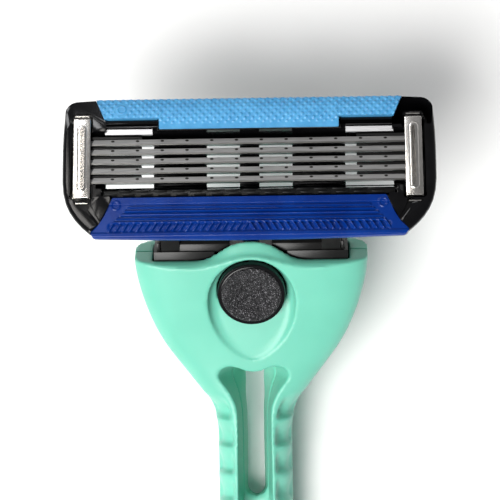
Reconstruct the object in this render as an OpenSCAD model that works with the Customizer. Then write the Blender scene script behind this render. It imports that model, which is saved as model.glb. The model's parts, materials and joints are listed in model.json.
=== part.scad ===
// Cartridge razor: five-blade pivoting cartridge docked in a long moulded handle.
// +X runs across the cartridge, +Y along the handle towards the cartridge, +Z up.
// The razor lies on its back with the blades up; Z = 0 is the surface it rests on.

/* [Overall] */
// length from the tail to the top of the cartridge, mm
total_length = 143; // [115:1:175]
// width of the cartridge, mm
cartridge_width = 42; // [35:0.5:51]

/* [Cartridge] */
// height of the cartridge face, from guard to lubricating strip, mm
cartridge_height = 16.2; // [14:0.1:19.5]
// lean of the cartridge face back from the table's plane, degrees
cartridge_tilt = 12; // [0:1:20]
// thickness of the cartridge frame behind the blade edges, mm
frame_depth = 3.3; // [2.9:0.1:4]
// distance from one cutting edge to the next, mm
blade_pitch = 1.12; // [0.95:0.01:1.3]
// angle of each blade to the cartridge face, degrees
blade_angle = 21; // [15:1:26]
// width of one blade strip, mm
blade_strip = 0.79; // [0.65:0.01:0.9]
// thickness of one blade strip, mm
blade_thick = 0.1; // [0.08:0.01:0.14]
// how far a blade can be pressed back, mm
blade_float = 0.25; // [0.1:0.05:0.3]

/* [Pivot] */
// travel of the cartridge about its pivot, degrees
pivot_travel = 40; // [25:1:42]
// lever of the return cam about the pivot, mm
cam_radius = 2.2; // [1.8:0.1:2.6]
// radius of the moulded pivot pins, mm
pin_radius = 0.7; // [0.5:0.05:0.8]

/* [Handle] */
// width of the handle head at its mouth, mm
head_width = 26.4; // [22:0.2:32]
// thickness of the handle head, mm
head_thick = 7.4; // [6.6:0.1:9]
// slope of the head above the table's plane, degrees
head_tilt = 31; // [24:1:36]
// width of the slim neck, mm
neck_width = 8.7; // [7.4:0.1:10.4]
// width of the grip at its widest, mm
grip_width = 12.6; // [10.5:0.1:15.5]
// thickness of the grip at its middle, mm
grip_thick = 9.6; // [8:0.1:11.5]
// radius of the bend between head and grip, mm
bend_radius = 50; // [42:1:60]
// width of the slot through the neck at the front, mm
slot_width = 3.8; // [3:0.1:4.6]

/* [Release button] */
// diameter of the round button, mm
button_diameter = 7.74; // [6.4:0.02:9.3]
// travel of the button, mm
button_travel = 1.2; // [0.8:0.1:1.3]

/* [Clearances] */
// gap each side of a sliding piece, mm
slide_gap = 0.15; // [0.1:0.01:0.25]
// radial gap of a shaft in its hole, mm
running_gap = 0.06; // [0.03:0.01:0.09]
// gap between faces that must never touch, mm
free_gap = 0.3; // [0.2:0.05:0.5]

/* [Hidden] */
e = 0.01;
blade_count = 5;
kx = cartridge_width / 42;
kv = cartridge_height / 16.2;
half_l = total_length / 2;

// ---- cartridge levels: x across, v up the face, w out of the face, cutting edges at w = 0
top_v = cartridge_height / 2;
bay_x = 18.4 * kx;
face_x = 16.6 * kx;
blade_x = 18.1 * kx;
edge_v0 = 2.79 * kv;
cap_w = 0.3;
strip_w = 0.6;
floor_w = -frame_depth + 0.8;
edge_v = [for (i = [0:blade_count - 1]) edge_v0 - i * blade_pitch];
bay_top = edge_v[0] + 1.62;
bay_bot = edge_v[blade_count - 1] - 0.52;
comb_top = bay_bot;
comb_bot = comb_top - 0.98;
guard_top = comb_bot - 0.2;
guard_bot = -top_v + 0.1;
guard_w = -0.75;
plate_w = -frame_depth + 1.3;
clip_in = 17.8 * kx;
clip_out = 19.75 * kx;
clip_top = bay_top + 1.1;
clip_bot = guard_top - 0.3;
clip_t = 0.3;
pivot_v = guard_top - 1.75;
pivot_w = -frame_depth + 0.1;

// ---- handle head levels: x across, s along the head out of its mouth, n out of its front
head_h = head_thick / 2;
cav_n = head_h - 1.35;
sock_x = head_width / 2 - 2.05;
sock_s = 2.6;
pivot_s = 3.9;
pivot_n = cav_n - 1.15;
plunger_n = pivot_n - cam_radius;
plunger_r = 0.85;
stem_r = 0.45;
arm_o = sock_x - 1.0;
arm_i = arm_o - 2.1;
lug_i = arm_o + slide_gap;
lug_o = lug_i + 1.9;
button_r = button_diameter / 2;
button_s = -(button_r + 0.45);
flange_r = button_r + 0.75;
mech_x = flange_r + 1.0;
mech_s = button_s - flange_r - 1.5;
latch_end = -6.6;
cam_rest = 1.2;
base_s = -sock_s + 0.5;
flange_t = 1.0;
flange_n = cav_n - 0.1 - flange_t;
wedge_i = plunger_r + 1.35;
wedge_o = wedge_i + 1.2;
wedge_s = button_s - 0.4;
wedge_l = 2.6;
wedge_n = -cav_n + button_travel + 0.2;
collar_s = button_s - 0.6;
guide_l = 2.2;
retreat = cam_radius * pivot_travel * PI / 180;

// ---- where the head and the cartridge stand in the part
ct = cos(cartridge_tilt);
st = sin(cartridge_tilt);
ch = cos(head_tilt);
sh = sin(head_tilt);
piv_y = half_l - (top_v - 0.02 - pivot_v) * ct + pivot_w * st;
stem_z = 4.0;
head_l = 8.5;
bend_y = bend_radius * sh;
bend_z = bend_radius * (1 - ch);
mouth_z = stem_z + bend_z + head_l * sh;
mouth_y = piv_y - pivot_s * ch + pivot_n * sh;
piv_z = mouth_z + pivot_s * sh + pivot_n * ch;
cart_y = piv_y - pivot_v * ct - pivot_w * st;
cart_z = piv_z + pivot_v * st - pivot_w * ct;
arc_y = mouth_y - head_l * ch;
grip_y = arc_y - bend_y;
tail_y = -half_l;
grip_l = grip_y - tail_y;

// ---- handle sections: [y, z, slope, half width, half front, half back, fullness]
hw0 = head_width / 2;
nw = neck_width / 2;
gw = grip_width / 2;
function along(y) = mouth_y - y;
function half_w(d) = lookup(d, [
  [-2, hw0], [1.7, hw0], [5.1, hw0 * 0.94], [7.1, hw0 * 0.89], [9.7, hw0 * 0.8], [11.8, hw0 * 0.69],
  [14.2, hw0 * 0.52 + nw * 0.1], [16.2, hw0 * 0.2 + nw * 0.7], [17.7, nw * 1.1], [19.5, nw],
  [arc_len - 2, nw], [arc_len + 14, nw * 0.45 + gw * 0.55], [arc_len + 40, gw],
  [full_len - 22, gw * 0.9], [full_len - 8, gw * 0.76], [full_len - 3.2, gw * 0.6], [full_len - 1, gw * 0.4],
  [full_len, gw * 0.2]]);
arc_len = mouth_y - grip_y;
full_len = mouth_y - tail_y;
function half_t(d) = lookup(d, [
  [-2, head_h], [9, head_h], [16, head_h * 0.97], [arc_len, 4.2], [arc_len + 14, 4.2],
  [arc_len + 38, grip_thick / 2], [full_len - 14, 4.25], [full_len - 5, 4.2], [full_len - 2.2, 3.3],
  [full_len - 0.6, 2.0], [full_len, 1.1]]);
function full(d) = lookup(d, [[0, 4], [10, 4], [18, 2.8], [full_len - 6, 2.7], [full_len, 2.3]]);
function arch(d) = let (u = (d - arc_len - 12) / (full_len - 8 - arc_len - 12))
  u <= 0 || u >= 1 ? 0 : 1.1 * pow(sin(180 * u), 2);
function slope_at(y) = y >= arc_y ? head_tilt : y >= grip_y ? asin(sh - (arc_y - y) / bend_radius) : 0;
function mid_z(y) = y >= arc_y ? mouth_z - (mouth_y - y) * sh / ch
  : y >= grip_y ? stem_z + bend_radius * (1 - cos(slope_at(y))) : stem_z + arch(along(y));
lip_s = 1.5;
stations = concat(
  [mouth_y + (lip_s + 0.4) * ch, mouth_y - 1.7, mouth_y - 5.1, arc_y],
  [for (i = [1:10]) arc_y - bend_y * i / 10],
  [for (i = [1:10]) grip_y - (grip_l - 8) * i / 10],
  [tail_y + 5, tail_y + 3.2, tail_y + 2, tail_y + 1, tail_y + 0.4, tail_y]);
nst = len(stations);
steps = 12;
function ring(y, side) = let (a = slope_at(y), z = mid_z(y), d = along(y), w = half_w(d), t = half_t(d),
    m = 2 / full(d))
  [for (j = [0:steps]) let (f = 180 * j / steps, c = cos(f), q = sin(f),
      px = w * sign(c) * pow(abs(c), m), pn = side * t * pow(abs(q), m))
    [px, y - pn * sin(a), z + pn * cos(a)]];
k = steps + 1;
function flat(l) = [for (a = l) for (b = a) b];

module in_cart() { translate([0, cart_y, cart_z]) rotate([-cartridge_tilt, 0, 0]) children(); }
module in_head() { translate([0, mouth_y, mouth_z]) rotate([head_tilt, 0, 0]) children(); }
// extrudes a profile drawn in the other two directions along X
module along_x(x0, x1) { translate([x0, 0, 0]) rotate([90, 0, 90]) linear_extrude(x1 - x0) children(); }
module block(x0, x1, y0, y1, z0, z1) { translate([x0, y0, z0]) cube([x1 - x0, y1 - y0, z1 - z0]); }
module both() { children(); mirror([1, 0, 0]) children(); }
// a rod along the head's length
module rod(r, s0, s1, n0) { translate([0, s0, n0]) rotate([-90, 0, 0])
    cylinder(r = r, h = s1 - s0, $fn = 48); }

// ---- handle
module loft(side) {
  rings = [for (y = stations) ring(y, side)];
  turned = side > 0 ? 0 : 1;
  tri = [for (i = [0:nst - 2]) for (j = [0:k - 1]) let (a = i * k + j, b = i * k + (j + 1) % k,
      c = a + k, d = b + k)
      each (turned == 1 ? [[a, b, d], [a, d, c]] : [[a, d, b], [a, c, d]])];
  first = [for (j = [0:k - 1]) j];
  last = [for (j = [0:k - 1]) (nst - 1) * k + j];
  caps = turned == 1 ? [[for (j = [k - 1:-1:0]) first[j]], last] : [first, [for (j = [k - 1:-1:0]) last[j]]];
  polyhedron(points = flat(rings), faces = concat(tri, caps));
}
// outline of the wavy front lip, seen along n
lip = [[-60, 0], [-7.6, 0.1], [-5.2, 0.35], [-3.5, 0.95], [-1.6, 1.4], [0, lip_s], [1.6, 1.4],
    [3.5, 0.95], [5.2, 0.35],
  [7.6, 0.1], [60, 0], [60, 9], [-60, 9]];
slot_h = slot_width / 2;
slot_top = arc_y - 6.4;
slot_end = slot_top - 13.8;
slot2_end = slot_end - 13;
bridge = 1.5;
// front opening of the neck slot, seen from above
module slot_front() {
  w = nw;
  polygon([[-0.6, slot_top - 0.5], [-w * 0.5, slot_top], [-w * 0.86, slot_top - 0.35],
      [-w * 0.9, slot_top - 1.1],
    [-w * 0.76, slot_top - 2], [-slot_h * 1.25, slot_top - 3.3], [-slot_h, slot_top - 5.6],
        [-slot_h, slot2_end],
    [slot_h, slot2_end], [slot_h, slot_top - 5.6], [slot_h * 1.25, slot_top - 3.3], [w * 0.76, slot_top - 2],
    [w * 0.9, slot_top - 1.1], [w * 0.86, slot_top - 0.35], [w * 0.5, slot_top], [0.6, slot_top - 0.5]]);
}
// two gaps right through the back, with a bridge between them
module slot_back() {
  h = slot_h * 0.62;
  block(-h, h, slot_end, slot_top - 2.4, -5, 55);
  block(-h, h, slot2_end + 1, slot_end - bridge, -5, 55);
}
// the space inside the head that takes the connector, the release parts and the return plunger
module head_space() {
  translate([0, 0, -cav_n]) linear_extrude(2 * cav_n)
      polygon([[-sock_x, 12], [-sock_x, -sock_s], [-mech_x, -sock_s], [-mech_x, mech_s],
    [mech_x, mech_s], [mech_x, -sock_s], [sock_x, -sock_s], [sock_x, 12]]);
  both() block(arm_o - 0.7 - slide_gap, sock_x - 0.03, latch_end - 0.5, -sock_s + 0.5, -1.5, 1.5);
}
module handle_front_shell() {
  color([0.5, 0.9, 0.79]) difference() {
    loft(1);
    in_head() {
      translate([0, 0, -20]) linear_extrude(40) polygon(lip);
      head_space();
      translate([0, button_s, 0]) cylinder(r = button_r + running_gap, h = 12, $fn = 64);
      // shallow thumb recess
      translate([0, button_s - button_r * 0.75, head_h - 0.4])
          cylinder(r1 = button_r + 0.25, r2 = button_r + 3, h = 1.2, $fn = 64);
    }
    translate([0, 0, -5]) linear_extrude(60) slot_front();
  }
}
module handle_back_shell() {
  color([0.45, 0.85, 0.74]) difference() {
    loft(-1);
    in_head() {
      block(-60, 60, 0, 20, -20, 20);
      head_space();
      rod(stem_r + running_gap, mech_s - guide_l, mech_s + 1, plunger_n);
    }
    slot_back();
    block(-40, 40, -200, 200, -20, 0);
  }
}

// ---- release parts
module eject_button() {
  color([0.1, 0.1, 0.1]) in_head() {
    top = head_h + 0.35;
    difference() {
      translate([0, button_s, flange_n + flange_t - 0.1])
          cylinder(r = button_r, h = top - flange_n - flange_t + 0.1, $fn = 64);
      // dished top
      translate([0, button_s, top + 24 - 0.25]) sphere(r = 24, $fn = 96);
    }
    // flange that keeps it in the head, cut off clear of the connector
    difference() {
      translate([0, button_s, flange_n]) cylinder(r = flange_r, h = flange_t, $fn = 64);
      block(-20, 20, base_s - free_gap, 20, -20, 20);
    }
    // two wedges that drive the ejector forwards
    both() along_x(wedge_i, wedge_o) polygon([[wedge_s - wedge_l, flange_n + e],
        [wedge_s + flange_n + e, flange_n + e],
      [wedge_s + wedge_n, wedge_n], [wedge_s - wedge_l, wedge_n]]);
  }
}
module ejector() {
  base = -cav_n + 0.1;
  roof = flange_n - button_travel - 0.1;
  back = wedge_s - wedge_l - slide_gap - button_travel;
  color([0.16, 0.16, 0.17]) in_head() {
    both() difference() {
      block(plunger_r + 0.3, mech_x - slide_gap, mech_s + 0.4, base_s - free_gap - button_travel, base, roof);
      // pocket for the wedge, its front face parallel to the wedge's
      along_x(wedge_i - slide_gap, wedge_o + slide_gap)
          polygon([[back, cav_n], [wedge_s + cav_n + slide_gap, cav_n],
        [wedge_s + base - 1 + slide_gap, base - 1], [back, base - 1]]);
    }
    block(-mech_x + slide_gap, mech_x - slide_gap, mech_s + 0.4, mech_s + 1.2, base, base + 0.3);
  }
}
module plunger() {
  color([0.2, 0.2, 0.21]) in_head() {
    rod(plunger_r, collar_s, pivot_s - cam_rest - running_gap, plunger_n);
    rod(stem_r, mech_s - guide_l + retreat + slide_gap, collar_s + 0.1, plunger_n);
  }
}
module plunger_spring() {
  turns = 5;
  per = 12;
  tube = 5;
  wire = 0.13;
  r = stem_r + running_gap + 0.06 + wire;
  s0 = mech_s + wire;
  s1 = collar_s - wire;
  n = turns * per;
  pts = [for (i = [0:n]) for (j = [0:tube - 1]) let (a = 360 * i / per, b = 360 * j / tube,
      rr = r + wire * cos(b))
    [rr * cos(a), s0 + (s1 - s0) * i / n + wire * sin(b), plunger_n + rr * sin(a)]];
  tri = [for (i = [0:n - 1]) for (j = [0:tube - 1]) let (a = i * tube + j, b = i * tube + (j + 1) % tube,
      c = a + tube, d = b + tube)
    each [[a, b, d], [a, d, c]]];
  color([0.7, 0.71, 0.72]) in_head() polyhedron(points = pts,
    faces = concat(tri, [[for (j = [tube - 1:-1:0]) j], [for (j = [0:tube - 1]) n * tube + j]]));
}

// ---- connector between handle and cartridge
module connector() {
  color([0.13, 0.13, 0.13]) in_head() difference() {
    union() {
      block(-sock_x + slide_gap, sock_x - slide_gap, base_s, 0.4, -cav_n + 0.1, cav_n - 0.1);
      both() {
        // latch arms
        block(arm_o - 0.7, arm_o + 0.45, latch_end, base_s + e, -1.2, 1.2);
        block(arm_o - 0.7, arm_o + 0.8, latch_end, latch_end + 1.1, -1.2, 1.2);
        // sloping panels and latch prongs in front of the base
        along_x(2.4, arm_i + e) polygon([[0.3, -cav_n + 0.5], [0.3, cav_n - 0.3], [1.2, cav_n - 0.5],
            [2.3, 0.2], [2.3, -0.6]]);
        block(arm_o - 0.6, arm_o + 0.5, 0.3, 1.5, 0.3, cav_n - 0.4);
        // pivot arms with their pins
        along_x(arm_i, arm_o) polygon([[0, -cav_n + 0.4], [0.7, -cav_n + 0.4],
            [pivot_s - 0.2, pivot_n - 0.98],
          [pivot_s - 0.2, pivot_n + 0.98], [0, cav_n - 0.3]]);
        translate([arm_i, pivot_s, pivot_n]) rotate([0, 90, 0])
            cylinder(r = 1.0, h = arm_o - arm_i, $fn = 48);
        translate([arm_o - 0.5, pivot_s, pivot_n]) rotate([0, 90, 0])
          cylinder(r = pin_radius, h = 0.5 + slide_gap + 1.5, $fn = 48);
      }
    }
    rod(plunger_r + slide_gap, -10, 10, plunger_n);
    // room for the pressed button
    block(-button_r - 0.25, button_r + 0.25, -10, 10,
        flange_n + flange_t - 0.1 - button_travel - slide_gap, 20);
  }
}

// ---- cartridge
function corner(x, v, r, a0, a1) = [for (i = [0:5]) let (a = a0 + (a1 - a0) * i / 5) [x + r * cos(a),
    v + r * sin(a)]];
frame_side = concat([[-17.5, 7.9]], [[-20.1, 7.3], [-20.6, 6.8], [-20.85, 6.1], [-21, 2.6],
    [-21, -1.7], [-20.75, -3.3],
  [-20.2, -4.8], [-19.4, -6.2], [-18.4, -7.3], [-17.6, -8]]);
function side(l, m) = [for (p = l) [m * p[0] * kx, p[1] * kv]];
function rev(l) = [for (i = [len(l) - 1:-1:0]) l[i]];
module frame_outline() { polygon(concat(side(frame_side, 1), rev(side(frame_side, -1)))); }
module clip_legs(g) {
  both() for (v = [clip_bot, clip_top - clip_t])
    block(clip_in - g, clip_out + g, v - g, v + clip_t + g, -frame_depth - 1, 3);
}
module cartridge_frame() {
  color([0.07, 0.07, 0.08]) in_cart() difference() {
    union() {
      // ends and upper beam
      difference() {
        translate([0, 0, -frame_depth]) linear_extrude(frame_depth + cap_w) frame_outline();
        // the face between the ends is lower, and the back of the guard is thinner
        block(-face_x, face_x, -top_v - 1, guard_top, guard_w, 3);
        block(-lug_o - 0.6, lug_o + 0.6, -top_v - 1, pivot_v + 2.0, -frame_depth - 1, plate_w);
        block(-face_x, face_x, comb_bot, comb_top, -0.7, 3);
      }
      // bearing lugs
      both() difference() {
        translate([lug_i, pivot_v, pivot_w]) rotate([0, 90, 0])
            cylinder(r = 1.35, h = lug_o - lug_i, $fn = 48);
        block(0, 60, -60, 60, -60, pivot_w - 1.34);
      }
      both() block(lug_i, lug_o, pivot_v - 1.35, pivot_v + 1.35, pivot_w, plate_w + e);
      // return cam on the middle of the back
      along_x(-1.6, 1.6) polygon(cam_points());
    }
    // blade bay with its rinse windows
    block(-bay_x, bay_x, bay_bot + 0.52, bay_top, floor_w, 3);
    block(-bay_x + 1.2, bay_x - 1.2, bay_bot, bay_bot + 0.6, floor_w, 3);
    both() {
      block(1.1 * kx, 4.85 * kx, bay_bot + 0.3, bay_top - 0.4, -9, 3);
      block(10.85 * kx, 16 * kx, bay_bot, bay_top - 0.4, -9, 3);
      translate([lug_i - 1, pivot_v, pivot_w]) rotate([0, 90, 0])
          cylinder(r = pin_radius + running_gap, h = lug_o - lug_i + 0.8, $fn = 48);
      // pocket for the clip
      translate([0, 0, cap_w - 0.12]) linear_extrude(3)
          polygon([[clip_in - 0.12, clip_bot - 0.12], [clip_out + 0.12, clip_bot - 0.12],
        [clip_out + 0.12, clip_top + 0.12], [clip_in - 0.12, clip_top + 0.12]]);
    }
    clip_legs(0.04);
    // seat of the lubricating strip
    translate([0, 0, -0.7]) linear_extrude(3) strip_outline(0.04);
  }
  // tapered fingers between the blades
  color([0.07, 0.07, 0.08]) in_cart() both() for (v = edge_v)
    translate([0, 0, floor_w - 0.1]) linear_extrude(1.6)
        polygon([[bay_x + 0.1, v + 0.77], [bay_x + 0.1, v + 1.05],
      [12.2 * kx, v + 0.95], [12.2 * kx, v + 0.82]]);
}
// the cam's working face is the curve that moves a flat plunger by cam_radius per radian
function cam_at(a) = let (l = cam_rest + cam_radius * a * PI / 180,
    s = -l * cos(a) + cam_radius * sin(a), n = -l * sin(a) - cam_radius * cos(a),
    b = head_tilt + cartridge_tilt)
  [pivot_v + s * cos(b) - n * sin(b), pivot_w + s * sin(b) + n * cos(b)];
function cam_points() = concat([for (i = [-2:9]) cam_at(i * pivot_travel / 8)],
  [[cam_at(pivot_travel * 9 / 8)[0] + 0.5, cam_at(pivot_travel)[1] + 0.3],
      [cam_at(pivot_travel)[0] + 1.5, -frame_depth + 0.3], [pivot_v + 2.05, -frame_depth + 0.5],
   [pivot_v + 2.05, plate_w + 0.3], [cam_at(-10)[0] - 0.05, plate_w + 0.3]]);
module strip_outline(g) {
  t = top_v - 0.02;
  b = bay_top + 0.15;
  n = b + 1.25 * kv;
  h = 17.35 * kx;
  q = 16.25 * kx;
  i = 10.2 * kx;
  polygon([[-h - g, t + g], [h + g, t + g], [q + g * 2, n - g], [i + g, n - g], [i + g, b - g],
      [-i - g, b - g], [-i - g, n - g], [-q - g * 2, n - g]]);
}
module lube_strip() {
  color([0.35, 0.68, 0.9]) in_cart() difference() {
    translate([0, 0, -0.68]) linear_extrude(strip_w + 0.68) strip_outline(0);
    // rounded upper edge
    along_x(-60, 60) polygon([[top_v - 0.9, 3], [top_v - 0.7, strip_w], [top_v - 0.25, strip_w - 0.2],
        [top_v, strip_w - 0.6], [top_v + 1, 0], [top_v + 1, 3]]);
  }
}
module guard_comb() {
  color([0.08, 0.08, 0.09]) in_cart() {
    x = 15.9 * kx;
    difference() {
      along_x(-x, x) polygon([[comb_bot + 0.03, -0.68], [comb_top - 0.03, -0.68],
          [comb_top - 0.03, -0.2], [comb_top - 0.3, 0.12], [comb_top - 0.42, -0.1],
        [comb_bot + 0.42, -0.1], [comb_bot + 0.3, 0.12], [comb_bot + 0.03, -0.05]]);
      for (i = [-8:8]) block(i * 1.96 * kx - 0.22, i * 1.96 * kx + 0.22, comb_bot - 1, comb_top + 1,
          -0.25, 2);
    }
  }
}
rib_pitch = 0.44 * kv;
module rubber_guard() {
  color([0.05, 0.2, 0.62]) in_cart() {
    g = 16.55 * kx;
    f = 13.6 * kx;
    n = 17;
    difference() {
      translate([0, 0, guard_w + 0.01]) linear_extrude(-guard_w - 0.1)
          polygon([[-15.2 * kx, guard_top - 0.03], [15.2 * kx, guard_top - 0.03],
        [g, guard_top - 2.4 * kv], [g, guard_bot + 0.25], [g - 0.5, guard_bot], [-g + 0.5, guard_bot],
            [-g, guard_bot + 0.25], [-g, guard_top - 2.4 * kv]]);
      both() translate([15.1 * kx, guard_top - 0.9, -3]) cylinder(r = 0.45, h = 6, $fn = 32);
    }
    // flat rail, ribs, slanted fins and the lip
    along_x(-14.9 * kx, 14.9 * kx) polygon([[guard_top - 0.05, -0.3], [guard_top - 0.05, 0.2],
        [guard_top - 0.75, 0.3], [guard_top - 0.8, -0.3]]);
    for (i = [0:4]) along_x(-(13.7 + 0.42 * i) * kx, (13.7 + 0.42 * i) * kx)
        polygon([[guard_top - 0.95 - i * rib_pitch, -0.3], [guard_top - 1.06 - i * rib_pitch, 0.25],
      [guard_top - 1.14 - i * rib_pitch, 0.25], [guard_top - 1.25 - i * rib_pitch, -0.3]]);
    both() for (i = [0:n - 1]) translate([(0.5 + i) * 0.8 * kx, guard_bot + 0.95, -0.3])
        rotate([0, 0, -28]) block(-0.12, 0.12, -0.5, 0.5, 0, 0.5);
    along_x(-16 * kx, 16 * kx) polygon([[guard_bot + 0.05, -0.3], [guard_bot + 0.05, 0.0],
        [guard_bot + 0.25, 0.22], [guard_bot + 0.42, 0.0], [guard_bot + 0.42, -0.3]]);
  }
}
module clip(m) {
  color([0.8, 0.8, 0.8]) in_cart() mirror([m < 0 ? 1 : 0, 0, 0]) {
    z = cap_w - 0.1;
    block(clip_in, clip_out, clip_bot, clip_top, z, z + clip_t);
    block(clip_in + 0.5, clip_out - 0.4, clip_bot + 0.6, clip_top - 0.6, z + clip_t - e, z + clip_t + 0.12);
    for (v = [clip_bot, clip_top - clip_t])
        block(clip_in, clip_out, v, v + clip_t, -frame_depth - 0.04, z + e);
    // turned-in feet under the frame
    block(clip_in, clip_out, clip_bot, clip_bot + 1.1, -frame_depth - 0.04 - clip_t, -frame_depth - 0.04);
    block(clip_in, clip_out, clip_top - 1.1, clip_top, -frame_depth - 0.04 - clip_t, -frame_depth - 0.04);
  }
}
ba = blade_angle;
module blade(i) {
  c = cos(ba);
  s = sin(ba);
  l = blade_strip;
  t = blade_thick;
  color([0.75, 0.74, 0.73]) in_cart() along_x(-blade_x, blade_x) translate([edge_v[i], 0])
    polygon([[0, 0], [l * c, -l * s], [l * c - t * s, -l * s - t * c], [t * 1.3, -t * 1.35 - 0.03]]);
}
module blade_support(i) {
  c = cos(ba);
  s = sin(ba);
  l = blade_strip;
  t = blade_thick;
  h = 0.2;
  a = t + 0.012;
  // leg under the blade, then a leg standing in the bay
  p = [l * c - a * s, -l * s - a * c];
  q = [t * 2.4 * c - a * s, -t * 2.4 * s - a * c];
  color([0.55, 0.55, 0.56]) in_cart() along_x(-blade_x + 0.1, blade_x - 0.1) translate([edge_v[i], 0])
    polygon([q, p, [p[0], floor_w + blade_float + 0.1], [p[0] - h, floor_w + blade_float + 0.1],
      [p[0] - h, q[1] - h * c - (p[0] - h - q[0] + h * s) * s / c], [q[0] - h * s, q[1] - h * c]]);
}

handle_front_shell();
handle_back_shell();
eject_button();
ejector();
plunger();
plunger_spring();
connector();
cartridge_frame();
guard_comb();
rubber_guard();
lube_strip();
clip(-1);  // clip_left
clip(1);  // clip_right
blade(0);  // blade_1
blade(1);  // blade_2
blade(2);  // blade_3
blade(3);  // blade_4
blade(4);  // blade_5
blade_support(0);  // blade_support_1
blade_support(1);  // blade_support_2
blade_support(2);  // blade_support_3
blade_support(3);  // blade_support_4
blade_support(4);  // blade_support_5
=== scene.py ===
"""Cartridge razor, lying on its back with the blades up."""

import json
import math

import bmesh
import bpy
from mathutils import Matrix, Vector

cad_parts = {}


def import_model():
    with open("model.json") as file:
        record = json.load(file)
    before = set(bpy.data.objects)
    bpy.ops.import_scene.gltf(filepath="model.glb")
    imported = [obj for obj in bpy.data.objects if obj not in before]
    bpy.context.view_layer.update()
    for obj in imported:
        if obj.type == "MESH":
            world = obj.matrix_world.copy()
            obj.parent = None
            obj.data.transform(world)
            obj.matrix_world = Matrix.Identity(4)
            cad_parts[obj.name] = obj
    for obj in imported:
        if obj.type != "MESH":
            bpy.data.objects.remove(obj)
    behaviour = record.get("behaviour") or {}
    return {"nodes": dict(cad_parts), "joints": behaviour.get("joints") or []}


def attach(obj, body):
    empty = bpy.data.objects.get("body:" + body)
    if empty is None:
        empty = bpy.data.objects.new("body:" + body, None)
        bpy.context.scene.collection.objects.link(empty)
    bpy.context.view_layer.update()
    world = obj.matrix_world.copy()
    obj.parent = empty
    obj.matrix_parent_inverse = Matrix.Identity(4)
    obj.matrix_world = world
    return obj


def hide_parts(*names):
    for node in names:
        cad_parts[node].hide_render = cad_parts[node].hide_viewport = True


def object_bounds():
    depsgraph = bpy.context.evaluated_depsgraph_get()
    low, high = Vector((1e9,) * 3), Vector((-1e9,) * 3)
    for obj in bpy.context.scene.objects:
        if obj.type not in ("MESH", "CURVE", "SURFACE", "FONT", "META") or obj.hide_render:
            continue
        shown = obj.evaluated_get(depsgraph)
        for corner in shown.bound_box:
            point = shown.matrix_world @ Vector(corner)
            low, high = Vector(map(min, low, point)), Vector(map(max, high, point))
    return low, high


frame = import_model()
cad_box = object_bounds()

# ---------------------------------------------------------------- places, in millimetres

MM = 0.001
joints = {j["name"]: j for j in frame["joints"]}
PIVOT = Vector(joints["cartridge_pivot"]["pos_m"]) / MM
ALONG = Vector(joints["cartridge_release"]["axis"])
OUTWARD = -Vector(joints["blade_1_float"]["axis"])
ACROSS = Vector((1, 0, 0))
HEAD_N = ACROSS.cross(ALONG)
FACE_V = OUTWARD.cross(ACROSS)
PIVOT_V, PIVOT_W = -5.14, -3.2
PIVOT_S, PIVOT_N = 3.9, 1.2
MOUTH = PIVOT - PIVOT_S * ALONG - PIVOT_N * HEAD_N
FACE = PIVOT - PIVOT_V * FACE_V - PIVOT_W * OUTWARD


def placed(across, along, out, origin):
    """Matrix from local millimetres to the shared frame in metres."""
    turn = Matrix((across, along, out)).transposed().to_4x4()
    return Matrix.Scale(MM, 4) @ Matrix.Translation(origin) @ turn


HEAD = placed(ACROSS, ALONG, HEAD_N, MOUTH)
CART = placed(ACROSS, FACE_V, OUTWARD, FACE)
SHARED = Matrix.Scale(MM, 4)

# cartridge levels: x across, v up the face, w out of it
PITCH = 1.12
EDGES = [2.79 - i * PITCH for i in range(5)]
BAY_TOP = EDGES[0] + 1.62
BAY_BOTTOM = EDGES[4] - 0.72
COMB_BOTTOM = BAY_BOTTOM - 0.88
GUARD_TOP = COMB_BOTTOM - 0.2
GUARD_BOTTOM = -8.0
FLOOR_W = -2.5
BACK_W = -3.3
PLATE_W = -2.0
CAP_W = 0.3
CLIP_IN, CLIP_OUT = 17.8, 19.75
CLIP_TOP = BAY_TOP + 1.1
CLIP_BOTTOM = GUARD_TOP - 0.3
# how far the clip on each side sits towards -X and up the face
CLIP_SHIFT = {-1: (0.0, 0.3), 1: (0.31, 0.11)}
# levels clear of the frame's front and back
OVER_W, UNDER_W = 3, -9

# head levels: x across, s along the head, n out of its front
HEAD_H = 3.7
CAV_N = 2.35
SOCK_X = 11.15
SOCK_S = 2.6
BUTTON_R = 3.87
BUTTON_S = -(BUTTON_R + 0.45)
ARM_O = SOCK_X - 1.0
ARM_I = ARM_O - 2.1
LUG_I = ARM_O + 0.15
LUG_O = LUG_I + 1.9
LUG_R = 1.35

# ---------------------------------------------------------------- mesh helpers


def span(m, a, b, inwards=0.0):
    """The X range from a to b out from the middle, on side m, which is -1 or 1."""
    return sorted((m * a - inwards, m * b - inwards))


def smoothstep(lo, hi, x):
    """0 at lo, 1 at hi, smooth between."""
    t = min(1.0, max(0.0, (x - lo) / (hi - lo)))
    return t * t * (3 - 2 * t)


def lerp_table(table, x):
    """Value at x on the straight lines between (x, value) stations."""
    if x <= table[0][0]:
        return table[0][1]
    for (x0, v0), (x1, v1) in zip(table, table[1:]):
        if x <= x1:
            return v0 + (v1 - v0) * (x - x0) / (x1 - x0)
    return table[-1][1]


def arc(x, y, r, a0, a1, steps=6):
    """Points round an arc, in degrees."""
    turns = [math.radians(a0 + (a1 - a0) * i / steps) for i in range(steps + 1)]
    return [(x + r * math.cos(a), y + r * math.sin(a)) for a in turns]


def rounded(x0, x1, y0, y1, r, steps=5):
    """Outline of a rectangle with round corners."""
    return (
        arc(x1 - r, y1 - r, r, 0, 90, steps)
        + arc(x0 + r, y1 - r, r, 90, 180, steps)
        + arc(x0 + r, y0 + r, r, 180, 270, steps)
        + arc(x1 - r, y0 + r, r, 270, 360, steps)
    )


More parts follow.
